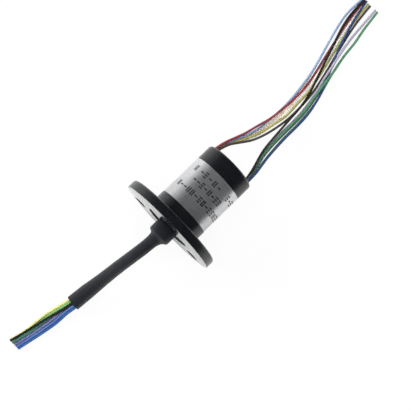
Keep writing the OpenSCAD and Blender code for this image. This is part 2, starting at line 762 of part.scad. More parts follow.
balls(rear_race_x, rear_w, rear_bore_d, rear_outer_d, rear_ball_d, rear_ball_count);  // rear_balls
cage(rear_race_x, rear_w, rear_bore_d, rear_outer_d, rear_ball_d, rear_ball_count);  // rear_cage
for (i = [1 : ring_count])
    contact_ring(i);
for (i = [0 : len(lead_colours) - 1])
    stator_wire(i);
for (i = [0 : len(lead_colours) - 1])
    rotor_wire(i);
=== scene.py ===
import math

import bmesh
import bpy
from mathutils import Matrix, Vector


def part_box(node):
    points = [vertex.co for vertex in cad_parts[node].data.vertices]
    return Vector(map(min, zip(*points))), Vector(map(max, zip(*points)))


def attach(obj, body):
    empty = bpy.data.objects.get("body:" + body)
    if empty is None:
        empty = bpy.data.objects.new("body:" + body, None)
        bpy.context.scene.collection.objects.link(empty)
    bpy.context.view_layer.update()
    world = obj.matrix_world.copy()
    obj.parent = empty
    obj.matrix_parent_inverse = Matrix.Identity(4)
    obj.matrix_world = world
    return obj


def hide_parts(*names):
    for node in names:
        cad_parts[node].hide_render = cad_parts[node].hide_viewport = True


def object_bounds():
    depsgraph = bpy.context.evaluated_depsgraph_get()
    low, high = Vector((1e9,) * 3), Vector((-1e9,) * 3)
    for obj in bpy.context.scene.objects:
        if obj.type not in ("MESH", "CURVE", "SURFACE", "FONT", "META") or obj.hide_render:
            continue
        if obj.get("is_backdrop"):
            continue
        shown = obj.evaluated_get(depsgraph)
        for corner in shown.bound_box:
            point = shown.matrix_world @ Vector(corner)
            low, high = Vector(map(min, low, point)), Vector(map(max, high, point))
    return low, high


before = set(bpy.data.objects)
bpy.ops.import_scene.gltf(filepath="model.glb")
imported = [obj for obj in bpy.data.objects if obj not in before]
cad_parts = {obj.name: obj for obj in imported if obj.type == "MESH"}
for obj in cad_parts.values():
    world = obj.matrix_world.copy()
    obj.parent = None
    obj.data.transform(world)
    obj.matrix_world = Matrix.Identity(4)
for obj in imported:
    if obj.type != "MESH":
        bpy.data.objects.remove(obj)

bl_info = {
    "name": "Flanged slip ring",
    "version": (1, 0, 0),
    "blender": (4, 5, 0),
    "location": "3D View > Sidebar > Slip Ring",
    "description": "Dresses a miniature twelve-circuit slip ring and lights it in a small studio",
    "category": "Object",
}

MM = 0.001

# The leads, in the order of the circuits, with the colour of each one's insulation
LEADS = [
    "black", "brown", "red", "orange", "yellow", "green",
    "blue", "violet", "grey", "white", "light_green", "light_blue",
]
STATOR_TINTS = {
    "black": (0.013, 0.012, 0.011), "brown": (0.052, 0.042, 0.040), "red": (0.21, 0.034, 0.052),
    "orange": (0.80, 0.66, 0.50), "yellow": (0.37, 0.35, 0.105), "green": (0.065, 0.21, 0.11),
    "blue": (0.022, 0.05, 0.14), "violet": (0.34, 0.31, 0.41), "grey": (0.12, 0.16, 0.15),
    "white": (0.87, 0.84, 0.75), "light_green": (0.08, 0.24, 0.12), "light_blue": (0.21, 0.29, 0.44),
}
ROTOR_TINTS = {
    "black": (0.010, 0.013, 0.011), "brown": (0.06, 0.05, 0.06), "red": (0.22, 0.035, 0.05),
    "orange": (0.62, 0.50, 0.17), "yellow": (0.60, 0.62, 0.23), "green": (0.045, 0.14, 0.12),
    "blue": (0.025, 0.095, 0.29), "violet": (0.19, 0.19, 0.41), "grey": (0.10, 0.12, 0.16),
    "white": (0.60, 0.60, 0.60), "light_green": (0.17, 0.38, 0.12), "light_blue": (0.085, 0.16, 0.39),
}

# Places on the axis and radii of the visible turned pieces, which come from the solids
HOUSING_LOW, HOUSING_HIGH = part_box("flange_housing")
BAND_LOW, BAND_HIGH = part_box("label_band")
CAP_LOW, CAP_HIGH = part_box("end_cap")
SHAFT_LOW, SHAFT_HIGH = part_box("rotor_shaft")
POTTING_LOW, POTTING_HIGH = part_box("wire_potting_a")

FLANGE_R = HOUSING_HIGH.z
FLANGE_FRONT = HOUSING_LOW.x
BARREL_END = HOUSING_HIGH.x
BAND_START = BAND_LOW.x
BAND_END = BAND_HIGH.x
BAND_R = BAND_HIGH.z
CAP_END = CAP_HIGH.x
CAP_R = CAP_HIGH.z
STUB_END = SHAFT_LOW.x
SHAFT_TAIL = SHAFT_HIGH.x
DISC_R = SHAFT_HIGH.z
FLOOR = HOUSING_LOW.z
POTTING_ROOM = 0.01 * MM
SLOT_REACH = 1.1 * MM

# Routes of the stationary leads. Each one has a distance sideways and a layer at each station.
LAYER = 0.6
LOWEST = FLOOR / MM + 0.275
DROP_START = (18.0, -0.6)
DROP_END = (43.0, LOWEST)
STATOR_STATIONS = [17.3, 20, 24, 28, 32, 36, 40, 44, 48, 52, 56, 60, 64, 69]
STATOR_ROUTES = {
    "black": [
        (-4.5, 2), (-3.9, 2), (-2.7, 2), (-2.2, 1.5), (-1.9, 1), (-1.6, 1), (-1.3, 1.1),
        (-0.5, 1.1), (0.9, 1.1), (2.3, 1.1), (3.7, 1.1), (5.1, 1), (6, 1.2), (6.3, 2)],
    "brown": [
        (4.5, 2), (3.65, 2), (1.05, 1.8), (-0.2, 0.8), (-0.9, 0.3), (-1.3, 0), (-1.3, 0),
        (-1, 0), (-0.2, 0), (0.8, 0), (1.9, 0), (2.9, 0), (3.7, 0), (4.3, 0)],
    "red": [
        (5.1, 2), (4.5, 2), (3.1, 2), (2.3, 1.6), (1.55, 1.1), (1.25, 1), (1.05, 1),
        (1.15, 1), (1.85, 0), (2.85, 0), (3.8, 0), (4.75, 0), (5.5, 0), (6.1, 0)],
    "orange": [
        (5.1, 0), (4.45, 0), (2.6, 0), (1.25, 0), (0.9, 0), (0.75, 0), (0.9, 0),
        (1.6, 0), (2.6, 0), (3.75, 0), (5, 0), (6.1, 0), (6.8, 0), (6.7, 0)],
    "yellow": [
        (4.5, 1), (3.7, 1), (2.05, 1.2), (0.65, 1), (0, 0.9), (-0.5, 0.2), (-0.3, 0),
        (-0.1, 0), (0.65, 0), (1.6, 0), (2.6, 0), (3.55, 0), (4.3, 0), (4.9, 0)],
    "green": [
        (-4.5, 1), (-4, 1), (-3.1, 1.1), (-2.9, 1), (-2.8, 1), (-2.8, 1), (-2.6, 1),
        (-1.95, 1.2), (-1.25, 2.1), (-0.7, 1.6), (0.15, 1), (0.6, 1), (1.4, 1), (2.1, 1)],
    "blue": [
        (-5.1, 2), (-5, 1.9), (-4.4, 1.3), (-4.1, 1.05), (-3.95, 1), (-3.95, 1), (-3.7, 1),
        (-2.9, 1.05), (-1.5, 1), (0.3, 1), (2.1, 1), (3.4, 1), (4.6, 1), (5.7, 1)],
    "violet": [
        (-4.5, 0), (-4, 0), (-3, 0.1), (-2.6, 0), (-2.5, 0), (-2.5, 0), (-2.3, 0),
        (-1.7, 0), (-0.6, 1.3), (0.3, 2), (1.2, 1.6), (1.9, 1), (2.3, 1), (2.75, 1)],
    "grey": [
        (-5.1, 0), (-4.6, 0), (-3.6, 0.1), (-3.2, 0), (-3.1, 0), (-3.1, 0), (-2.9, 0),
        (-2.3, 0), (-1.1, 0), (0.15, 0), (1.2, 0), (1.9, 0), (2.3, 0), (2.75, 0)],
    "white": [
        (4.5, 0), (3.8, 0), (1.95, 0.2), (0.65, 0), (0.3, 0), (0.15, 0), (0.3, 0),
        (0.55, 0), (1.25, 0), (2.25, 0), (3.2, 0), (4.15, 0), (4.9, 0), (5.5, 0)],
    "light_green": [
        (-5.1, 1), (-4.9, 0.9), (-4.3, 0.2), (-3.95, 0), (-3.75, 0), (-3.75, 0), (-3.5, 0),
        (-2.95, 0), (-1.78, 0), (-0.7, 0), (0.1, 0), (0.6, 0), (1.4, 0), (2.1, 0)],
    "light_blue": [
        (5.1, 1), (4.45, 1), (2.7, 1.1), (1.75, 0.6), (1.5, 0.1), (1.35, 0), (1.5, 0.25),
        (2, 1), (2.7, 1), (3.8, 1), (5, 1), (6.1, 1), (6.8, 1), (6.7, 1.1)],
}

# The shrink sleeve's centre line, with its outer radius at each point
SLEEVE_LINE = [
    (-2.2, 0, 0), (-5.0, 0, 0), (-6.2, 0.1, 0), (-9, 0.33, -0.45), (-12, 0.73, -1.6),
    (-15, 1.15, -3.4), (-18, 1.52, -5.5), (-21, 1.85, -7.6), (-24, 2.2, -9.3),
    (-26.5, 2.45, -10.2), (-28.3, 2.6, -10.5),
]
SLEEVE_RADII = [2.67, 2.67, 1.55, 1.43, 1.42, 1.43, 1.47, 1.57, 1.74, 1.78, 1.8]
SLEEVE_WALL = 0.15

# Places of the rotating leads: the angle and radius of each in the round bundle inside the
# sleeve, its place in the rows at the sleeve's mouth, and its route past the mouth
LEAD_START = -0.5
OUTER_RING = 0.87
INNER_RING = 0.33
BUNDLE = {
    "black": (90, OUTER_RING, (0, 0.5)), "brown": (248.5, OUTER_RING, (-0.57, -0.5)),
    "red": (291.5, OUTER_RING, (0.57, -0.5)), "orange": (330, OUTER_RING, (0.86, 0)),
    "yellow": (8.5, OUTER_RING, (1.14, 0.5)), "green": (30, INNER_RING, (0.29, 0)),
    "blue": (171.5, OUTER_RING, (-1.14, 0.5)), "violet": (150, INNER_RING, (-0.29, 0)),
    "grey": (210, OUTER_RING, (-0.86, 0)), "white": (270, INNER_RING, (0, -0.5)),
    "light_green": (51.5, OUTER_RING, (0.57, 0.5)), "light_blue": (128.5, OUTER_RING, (-0.57, 0.5)),
}
FLATTEN = (-18.0, -28.3)
FAN_STATIONS = [-31, -34, -38, -41, -44]
FAN_LIFT = [0.5, 0.1, 0, 0, 0]
FAN_ROUTES = {
    "black": [(3.1, 2.3), (4, 2.2), (4.95, 2.1), (5.6, 2.1), (6.35, 2)],
    "brown": [(2.5, 0), (2.95, 0), (3.4, 0), (4, 0), (4.7, 0)],
    "red": [(3.7, 0), (4.15, 0), (4.6, 0), (5.2, 0), (5.9, 0)],
    "orange": [(4, 1), (4.7, 0.3), (5.2, 0.1), (5.8, 0), (6.5, 0)],
    "yellow": [(4.35, 2), (5, 1.3), (5.45, 1.1), (5.75, 1), (6.2, 1)],
    "green": [(3.4, 1), (3.8, 1), (4.35, 1.5), (4.95, 2), (5.7, 2)],
    "blue": [(1.85, 2), (1.97, 1.3), (2.6, 1), (3.2, 1), (3.8, 1)],
    "violet": [(2.8, 1), (3.2, 1), (3.8, 1), (4.4, 1), (5, 1)],
    "grey": [(2.2, 1), (2.35, 0.3), (2.8, 0), (3.4, 0), (4.1, 0)],
    "white": [(3.1, 0), (3.55, 0), (4, 0), (4.6, 0), (5.3, 0)],
    "light_green": [(3.75, 2), (4.4, 1.2), (4.85, 1), (5.15, 1), (5.6, 1)],
    "light_blue": [(2.45, 2), (2.58, 1.25), (3.2, 1), (3.8, 1), (4.4, 1)],
}

MADE = {}


# ---------------------------------------------------------------- properties

class SlipRingBodySettings(bpy.types.PropertyGroup):
    """Sizes of the turned body that a user would change"""
    turn_steps: bpy.props.IntProperty(
        name="Turning steps", description="Steps round the axis in each turned piece",
        default=192, min=48, max=512)
    hole_chamfer: bpy.props.FloatProperty(
        name="Hole chamfer", description="Chamfer round each end of a mounting hole",
        default=0.08 * MM, unit="LENGTH")
    foil_lap: bpy.props.FloatProperty(
        name="Foil lap", description="Height of the step where the foil band overlaps itself",
        default=0.03 * MM, unit="LENGTH")
    plastic_colour: bpy.props.FloatVectorProperty(
        name="Plastic", description="Colour of the black mouldings", subtype="COLOR",
        size=3, min=0, max=1, default=(0.0024, 0.0029, 0.0040))
    foil_colour: bpy.props.FloatVectorProperty(
        name="Foil", description="Colour of the foil band", subtype="COLOR",
        size=3, min=0, max=1, default=(0.56, 0.56, 0.57))


class SlipRingPrintSettings(bpy.types.PropertyGroup):
    """The plain printed marks on the foil band"""
    mark_width: bpy.props.FloatProperty(
        name="Mark width", description="Size of a mark round the band",
        default=0.8 * MM, unit="LENGTH")
    mark_height: bpy.props.FloatProperty(
        name="Mark height", description="Size of a mark along the body",
        default=1.4 * MM, unit="LENGTH")
    mark_pitch: bpy.props.FloatProperty(
        name="Mark pitch", description="Distance from one mark to the next round the band",
        default=1.1 * MM, unit="LENGTH")
    stroke: bpy.props.FloatProperty(
        name="Stroke", description="Width of the lines that the marks are drawn with",
        default=0.31 * MM, unit="LENGTH")
    ink_height: bpy.props.FloatProperty(
        name="Ink height", description="How far the ink stands proud of the foil",
        default=0.004 * MM, unit="LENGTH")
    ink_colour: bpy.props.FloatVectorProperty(
        name="Ink", description="Colour of the printed marks", subtype="COLOR",
        size=3, min=0, max=1, default=(0.012, 0.012, 0.014))


class SlipRingLeadSettings(bpy.types.PropertyGroup):
    """Sizes of the leads and their sleeve"""
    diameter: bpy.props.FloatProperty(
        name="Lead diameter", description="Diameter of a lead over its insulation",
        default=0.55 * MM, unit="LENGTH")
    strand_diameter: bpy.props.FloatProperty(
        name="Strand diameter", description="Diameter of one strand of the conductor",
        default=0.1 * MM, unit="LENGTH")
    sides: bpy.props.IntProperty(
        name="Lead sides", description="Sides of each lead's round section", default=20, min=8, max=48)
    sleeve_sides: bpy.props.IntProperty(
        name="Sleeve sides", description="Sides of the shrink sleeve's section",
        default=72, min=24, max=144)


# ---------------------------------------------------------------- node helpers

def feed(tree, socket, value):
    """Links a socket to the output that feeds it, or sets it to a plain value"""
    if isinstance(value, bpy.types.NodeSocket):
        tree.links.new(value, socket)
    else:
        socket.default_value = value


def feed_all(tree, node, inputs):
    """Feeds the inputs of a node, which are given by name or by number"""
    for key, value in inputs.items():
        feed(tree, node.inputs[key], value)


def add_node(tree, kind, inputs=None, **properties):
    """Adds a node, sets its properties and feeds its inputs"""
    node = tree.nodes.new(kind)
    for name, value in properties.items():
        setattr(node, name, value)
    feed_all(tree, node, inputs or {})
    return node


def empty_tree(owner):
    owner.use_nodes = True
    owner.node_tree.nodes.clear()
    return owner.node_tree


def new_material(name):
    material = bpy.data.materials.new(name)
    tree = empty_tree(material)
    shader = add_node(tree, "ShaderNodeBsdfPrincipled")
    add_node(tree, "ShaderNodeOutputMaterial", {"Surface": shader.outputs["BSDF"]})
    return material, tree, shader


def object_point(tree, scale=(1, 1, 1)):
    """Object coordinates, stretched by scale"""
    point = add_node(tree, "ShaderNodeTexCoord").outputs["Object"]
    mapping = add_node(tree, "ShaderNodeMapping", {"Vector": point, "Scale": scale})
    return mapping.outputs["Vector"]


def noise(tree, vector, scale, detail=3.0):
    inputs = {"Vector": vector, "Scale": scale, "Detail": detail, "Roughness": 0.55}
    return add_node(tree, "ShaderNodeTexNoise", inputs).outputs["Fac"]


def remap(tree, value, low, high, start=0.3, end=0.7, curve="LINEAR"):
    """Maps a value between start and end on to low and high"""
    inputs = {"Value": value, "From Min": start, "From Max": end, "To Min": low, "To Max": high}
    node = add_node(tree, "ShaderNodeMapRange", inputs, interpolation_type=curve)
    return node.outputs["Result"]


def blend_colours(tree, share, first, second):
    inputs = {"Factor": share, "A": (*first, 1), "B": (*second, 1)}
    return add_node(tree, "ShaderNodeMix", inputs, data_type="RGBA").outputs["Result"]


def scaled(colour, factor):
    return tuple(min(1.0, c * factor) for c in colour)


def mottled(tree, value, colour, dark, light):
    """A colour that a noise value makes darker and lighter by these factors"""
    share = remap(tree, value, 0, 1)
    return blend_colours(tree, share, scaled(colour, dark), scaled(colour, light))


def bump(tree, shader, height, distance):
    node = add_node(tree, "ShaderNodeBump", {"Distance": distance, "Strength": 1, "Height": height})
    feed(tree, shader.inputs["Normal"], node.outputs["Normal"])


# ---------------------------------------------------------------- materials

def moulded_plastic(name, colour, roughness, coat=0.0):
    """Black moulding: faint flow marks in its colour, a fine grain and, where polished, a skin"""
    material, tree, shader = new_material(name)
    point = object_point(tree)
    flow = noise(tree, point, 420.0, 4.0)
    grain = noise(tree, point, 5200.0, 2.0)
    feed_all(tree, shader, {
        "Base Color": mottled(tree, flow, colour, 0.8, 1.3),
        "Roughness": remap(tree, flow, roughness * 0.85, roughness * 1.25),
        "IOR": 1.5, "Coat Weight": coat, "Coat Roughness": 0.05, "Coat IOR": 1.5,
    })
    bump(tree, shader, grain, 0.0012 * MM)
    return material


def metal(name, colour, roughness, streak=(1, 1, 1), grain=1500.0, depth=0.001):
    """Metal with fine tool marks that run square to the long axis of streak"""
    material, tree, shader = new_material(name)
    marks = noise(tree, object_point(tree, streak), grain)
    cloud = noise(tree, object_point(tree), 240.0)
    feed_all(tree, shader, {
        "Base Color": mottled(tree, cloud, colour, 0.9, 1.06),
        "Roughness": remap(tree, marks, roughness * 0.7, roughness * 1.3),
        "Metallic": 1.0,
    })
    bump(tree, shader, marks, depth * MM)
    return material


def insulation(name, colour):
    """Smooth extruded insulation: a soft skin with faint shade changes along its length"""
    material, tree, shader = new_material(name)
    along = noise(tree, object_point(tree, (1, 4, 4)), 260.0)
    skin = noise(tree, object_point(tree, (1, 3, 3)), 3600.0, 2.0)
    feed_all(tree, shader, {
        "Base Color": mottled(tree, along, colour, 0.86, 1.14),
        "Roughness": remap(tree, skin, 0.34, 0.5),
        "IOR": 1.42, "Subsurface Weight": 0.08, "Subsurface Scale": 0.1 * MM,
    })
    bump(tree, shader, skin, 0.002 * MM)
    return material


def matt(name, colour, roughness, depth, scale=2600.0):
    """Matt surface with a fine tooth"""
    material, tree, shader = new_material(name)
    point = object_point(tree)
    tooth = noise(tree, point, scale)
    cloud = noise(tree, point, scale / 14)
    feed_all(tree, shader, {
        "Base Color": mottled(tree, cloud, colour, 0.85, 1.2),
        "Roughness": remap(tree, tooth, roughness * 0.88, min(1, roughness * 1.12)),
    })
    bump(tree, shader, tooth, depth * MM)
    return material


def foil(name, colour):
    """Brushed foil: hairlines that run round the band, and painted shade from the flange that makes it
    darker near the flange and brighter towards the cap
    """
    material, tree, shader = new_material(name)
    hairlines = noise(tree, object_point(tree, (1, 0.02, 0.02)), 9000.0, 2.0)
    place = add_node(tree, "ShaderNodeSeparateXYZ", {"Vector": object_point(tree)})
    cloud = noise(tree, object_point(tree), 130.0, 2.0)
    # Painted shade: the colour ramps from dark at the flange end of the band to light at the cap end,
    # where the flange shades the foil
    along = remap(tree, place.outputs["X"], 0.0, 0.8, BAND_START, BAND_END)
    inputs = {0: cloud, 1: 0.25, 2: along}
    share = add_node(tree, "ShaderNodeMath", inputs, operation="MULTIPLY_ADD").outputs[0]
    feed_all(tree, shader, {
        "Base Color": blend_colours(tree, share, scaled(colour, 0.88), scaled(colour, 1.14)),
        "Roughness": remap(tree, hairlines, 0.26, 0.38),
        "Metallic": 0.94,
    })
    bump(tree, shader, hairlines, 0.0006 * MM)
    return material


# ---------------------------------------------------------------- mesh helpers

def placed(name, data):
    """A new object of the scene"""
    piece = bpy.data.objects.new(name, data)
    bpy.context.scene.collection.objects.link(piece)
    return piece


def smooth(mesh, sharp_angle):
    for polygon in mesh.polygons:
        polygon.use_smooth = True
    mesh.set_sharp_from_angle(angle=math.radians(sharp_angle))


def finish_mesh(name, builder, materials, sharp_angle=32.0):
    """Turns a bmesh into an object with smooth shading that keeps its sharp edges"""
    mesh = bpy.data.meshes.new(name)
    bmesh.ops.recalc_face_normals(builder, faces=builder.faces)
    builder.to_mesh(mesh)
    builder.free()
    for material in materials:
        mesh.materials.append(material)
    smooth(mesh, sharp_angle)
    return placed(name, mesh)


def stand_for(piece, body, node):
    """Shows a piece in place of a solid, on its body"""
    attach(piece, body)
    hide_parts(node)


def stitch(builder, first, second):
    """Closes the gap between two rings of vertices with faces"""
    for k, vertex in enumerate(first):
        n = (k + 1) % len(first)
        builder.faces.new((vertex, first[n], second[n], second[k]))


def turned(outline, steps, radius_at=None):
    """A closed outline of (x, radius) turned round the X axis, as a bmesh"""
    builder = bmesh.new()
    columns = []
    for x, radius in outline:
        if radius < 1e-9:
            vertex = builder.verts.new((x, 0, 0))
            columns.append([vertex] * steps)
            continue
        column = []
        for k in range(steps):
            angle = 2 * math.pi * k / steps
            grown = radius if radius_at is None else radius_at(x, radius, angle)
            column.append(builder.verts.new((x, grown * math.sin(angle), grown * math.cos(angle))))
        columns.append(column)
    for i, column in enumerate(columns):
        following = columns[(i + 1) % len(columns)]
        for k in range(steps):
            n = (k + 1) % steps
            corners = []
            for vertex in (column[k], column[n], following[n], following[k]):
                if vertex not in corners:
                    corners.append(vertex)
            if len(corners) > 2:
                builder.faces.new(corners)
    return builder


def arc(x, radius, edge, start, end, steps=8):
    """Points of a rounded edge in an outline, round (x, radius)"""
    points = []
    for i in range(steps + 1):
        angle = math.radians(start + (end - start) * i / steps)
        points.append((x + edge * math.cos(angle), radius + edge * math.sin(angle)))
    return points


def evaluated_mesh(piece):
    bpy.context.view_layer.update()
    graph = bpy.context.evaluated_depsgraph_get()
    return bpy.data.meshes.new_from_object(piece.evaluated_get(graph), depsgraph=graph)


def cut_away(piece, cutters):
    """Cuts the cutters out of a piece, and removes them"""
    for cutter in cutters:
        modifier = piece.modifiers.new("cut", "BOOLEAN")
        modifier.operation = "DIFFERENCE"
        modifier.solver = "EXACT"
        modifier.object = cutter
    result = evaluated_mesh(piece)
    piece.modifiers.clear()
    old = piece.data
    piece.data = result
    result.name = piece.name
    bpy.data.meshes.remove(old)
    for cutter in cutters:
        mesh = cutter.data
        bpy.data.objects.remove(cutter)
        bpy.data.meshes.remove(mesh)
    smooth(result, 32.0)


def polish_front(piece, x):
    """Gives the second material to the flat front face at x"""
    for polygon in piece.data.polygons:
        if polygon.normal.x < -0.99 and abs(polygon.center.x - x) < 0.01 * MM:
            polygon.material_index = 1


def extruded_slot(side, x0, x1, inset):
    """The rounded slot that the leads leave through, as a solid along X"""
    half_width = (POTTING_HIGH.y - POTTING_LOW.y) / 2 + POTTING_ROOM - inset
    middle = side * (POTTING_HIGH.y + POTTING_LOW.y) / 2
    reach = SLOT_REACH - inset - 0.5 * half_width
    radius = math.hypot(half_width, reach)
    start = math.atan2(reach, half_width)
    steps = 16
    outline = []
    for base in (0, math.pi):
        for i in range(steps + 1):
            angle = base + start + (math.pi - 2 * start) * i / steps
            outline.append((middle + radius * math.cos(angle), radius * math.sin(angle)))
    builder = bmesh.new()
    near = [builder.verts.new((x0, y, z)) for y, z in outline]
    far = [builder.verts.new((x1, y, z)) for y, z in outline]
    builder.faces.new(near)
    builder.faces.new(far)
    stitch(builder, near, far)
    return builder


# ---------------------------------------------------------------- routes

def ease(t):
    t = min(1.0, max(0.0, t))
    return t * t * (3 - 2 * t)


def ease_rate(t):
    t = min(1.0, max(0.0, t))
    return 6 * t * (1 - t)


def in_drop(x, sideways, layer):
    """A lead's place in the stationary bundle, whose layers are stacked square to its run"""
    length = DROP_END[0] - DROP_START[0]
    fall = DROP_END[1] - DROP_START[1]
    t = (x - DROP_START[0]) / length
    slope = fall * ease_rate(t) / length
    up = layer * LAYER / math.hypot(1, slope)
    return Vector((x - slope * up, sideways, DROP_START[1] + fall * ease(t) + up))


def sideways_of(run):
    side = Vector((0, 0, 1)).cross(run).normalized()
    return -side if side.y < 0 else side


def upwards_of(run):
    up = run.cross(sideways_of(run))
    return -up if up.z < 0 else up


def run_at(points, i, first):
    if i == 0:
        return first
    return (points[min(i + 1, len(points) - 1)] - points[i - 1]).normalized()


def extended(points, i):
    if i < 0:
        return 2 * points[0] - points[1]
    if i >= len(points):
        return 2 * points[-1] - points[-2]
    return points[i]


def smoothed(points):
    """The same route with one more point half way along each stretch"""
    result = []
    for i, point in enumerate(points):
        result.append(point)
        if i < len(points) - 1:
            near = point + extended(points, i + 1)
            far = extended(points, i - 1) + extended(points, i + 2)
            result.append((9 * near - far) / 16)
    return result


def stator_route(lead):
    return [in_drop(x, *place) for x, place in zip(STATOR_STATIONS, STATOR_ROUTES[lead])]


def in_sleeve(lead, i):
    line = [Vector((LEAD_START, 0, 0))] + [Vector(p) for p in SLEEVE_LINE]
    run = run_at(line, i, Vector((-1, 0, 0)))
    share = ease((FLATTEN[0] - line[i].x) / (FLATTEN[0] - FLATTEN[1]))
    spread = 1 + 0.5 * share * (1 - share)
    angle, radius, row = BUNDLE[lead]
    across = radius * math.cos(math.radians(angle)) * (1 - share) + row[0] * share
    up = radius * math.sin(math.radians(angle)) * (1 - share) + row[1] * share
    return line[i] + spread * (across * sideways_of(run) + up * upwards_of(run))


def rotor_route(lead):
    inside = [in_sleeve(lead, i) for i in range(len(SLEEVE_LINE) + 1)]
    outside = [
        Vector((x, place[0], LOWEST + lift + place[1] * LAYER))
        for x, lift, place in zip(FAN_STATIONS, FAN_LIFT, FAN_ROUTES[lead])]
    return inside + outside


def mm(*sizes):
    return [size * MM for size in sizes]


def in_metres(points):
    return [point * MM for point in points]


# ---------------------------------------------------------------- leads

def lead_mesh(name, route, first, radius, sides, materials):
    """A lead along a route: its insulation, cut square, round the sunken end of its conductor"""
    points = smoothed(smoothed(route))
    count = len(points)
    builder = bmesh.new()
    sections = []
    for i, point in enumerate(points):
        sections.append((point, run_at(points, i, first), radius))
    last_run = sections[-1][1]
    lip = 0.02 * MM
    core = 0.155 * MM
    sunk = 0.03 * MM
    end = sections[-1][0]
    sections[-1] = (end - lip * last_run, last_run, radius)
    sections.append((end, last_run, radius - lip))
    sections.append((end, last_run, core))
    sections.append((end - sunk * last_run, last_run, core))
    rings = []
    for point, run, size in sections:
        side, up = sideways_of(run), upwards_of(run)
        rings.append([
            builder.verts.new(point + size * (
                math.cos(2 * math.pi * (k + 0.5) / sides) * side
                + math.sin(2 * math.pi * (k + 0.5) / sides) * up))
            for k in range(sides)])
    for a, b in zip(rings, rings[1:]):
        stitch(builder, a, b)
    builder.faces.new(rings[0])
    core_face = builder.faces.new(rings[-1])
    core_face.material_index = 1
    return finish_mesh(name, builder, materials, 50.0)


def new_tree(name, inputs):
    """A node group that takes a geometry and the named inputs, and its input sockets"""
    tree = bpy.data.node_groups.new(name, "GeometryNodeTree")
    for label, kind in {"Geometry": "Geometry", **inputs, "Material": "Material"}.items():
        tree.interface.new_socket(label, in_out="INPUT", socket_type="NodeSocket" + kind)
    tree.interface.new_socket("Geometry", in_out="OUTPUT", socket_type="NodeSocketGeometry")
    return tree, add_node(tree, "NodeGroupInput").outputs


def close_tree(tree, geometry, material):
    """Gives the geometry its material and sends it out of the node group"""
    painted = add_node(
        tree, "GeometryNodeSetMaterial", {"Geometry": geometry, "Material": material})
    add_node(tree, "NodeGroupOutput", {"Geometry": painted.outputs["Geometry"]})
    return tree


def joined(tree, parts):
    node = add_node(tree, "GeometryNodeJoinGeometry")
    for part in parts:
        tree.links.new(part, node.inputs["Geometry"])
    return node.outputs["Geometry"]


def strand_tree():
    """Sets the strands of the conductor in the end of each lead"""
    tree, given = new_tree("Conductor strands", {
        "Strand diameter": "Float", "Strands round the middle": "Int", "Strand length": "Float"})
    share_of_pitch = 0.48
    radius = add_node(
        tree, "ShaderNodeMath", {0: given["Strand diameter"], 1: share_of_pitch},
        operation="MULTIPLY").outputs[0]
    strand = add_node(tree, "GeometryNodeMeshCylinder", {
        "Vertices": 10, "Side Segments": 1, "Radius": radius, "Depth": given["Strand length"]})
    circle = add_node(tree, "GeometryNodeMeshCircle", {
        "Vertices": given["Strands round the middle"], "Radius": given["Strand diameter"]})
    middle = add_node(tree, "GeometryNodeMeshLine", {"Count": 1})
    bundle = add_node(tree, "GeometryNodeInstanceOnPoints", {
        "Points": joined(tree, [circle.outputs["Mesh"], middle.outputs["Mesh"]]),
        "Instance": strand.outputs["Mesh"]})
    facing = add_node(
        tree, "GeometryNodeInputNamedAttribute", {"Name": "facing"}, data_type="FLOAT_VECTOR")
    align = add_node(
        tree, "FunctionNodeAlignRotationToVector", {"Vector": facing.outputs["Attribute"]}, axis="Z")
    ends = add_node(tree, "GeometryNodeInstanceOnPoints", {
        "Points": given["Geometry"], "Instance": bundle.outputs["Instances"],
        "Rotation": align.outputs["Rotation"]})
    whole = add_node(
        tree, "GeometryNodeRealizeInstances", {"Geometry": ends.outputs["Instances"]})
    return close_tree(tree, whole.outputs["Geometry"], given["Material"])


def set_inputs(modifier, values):
    """Sets a modifier's inputs by the identifiers of their sockets"""
    for item in modifier.node_group.interface.items_tree:
        if item.item_type == "SOCKET" and item.in_out == "INPUT" and item.name in values:
            modifier[item.identifier] = values[item.name]


def grown_by(tree, base, values, name, body):
    """Runs a node tree on a base mesh, and keeps the result as one plain piece"""
    source = placed(name + "_source", base)
    modifier = source.modifiers.new("grow", "NODES")
    modifier.node_group = tree
    set_inputs(modifier, values)
    mesh = evaluated_mesh(source)
    bpy.data.objects.remove(source)
    bpy.data.meshes.remove(base)
    mesh.name = name
    piece = placed(name, mesh)
    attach(piece, body)
    return piece


def lead_ends(name, routes, body, settings):
    """The conductor strands in the free ends of a set of leads"""
    mesh = bpy.data.meshes.new(name + "_points")
    sunk = 0.06 * MM
    ends = []
    for route in routes:
        run = (route[-1] - route[-2]).normalized()
        ends.append((route[-1] - sunk * run, run))
    mesh.from_pydata([tuple(point) for point, _ in ends], [], [])
    attribute = mesh.attributes.new("facing", "FLOAT_VECTOR", "POINT")
    for i, (_, run) in enumerate(ends):
        attribute.data[i].vector = run
    values = {
        "Strand diameter": settings.strand_diameter,
        "Strands round the middle": 6,
        "Strand length": 0.1 * MM,
        "Material": MADE["copper"],
    }
    return grown_by(strand_tree(), mesh, values, name, body)


def make_leads(prefix, route_of, first, body, tints, settings):
    """All the leads of one side, each a free cord with a bare end"""
    radius = settings.diameter / 2
    routes = {lead: in_metres(route_of(lead)) for lead in LEADS}
    paths = {lead: smoothed(route) for lead, route in routes.items()}
    ends = lead_ends(prefix + "_strands", [paths[lead] for lead in LEADS], body, settings)
    for lead in LEADS:
        skin = insulation(f"{prefix} insulation {lead}", tints[lead])
        piece = lead_mesh(
            f"{prefix}_lead_{lead}", routes[lead], first, radius, settings.sides,
            [skin, MADE["copper"]])
        stand_for(piece, body, f"{prefix}_wire_{lead}")


# ---------------------------------------------------------------- operators

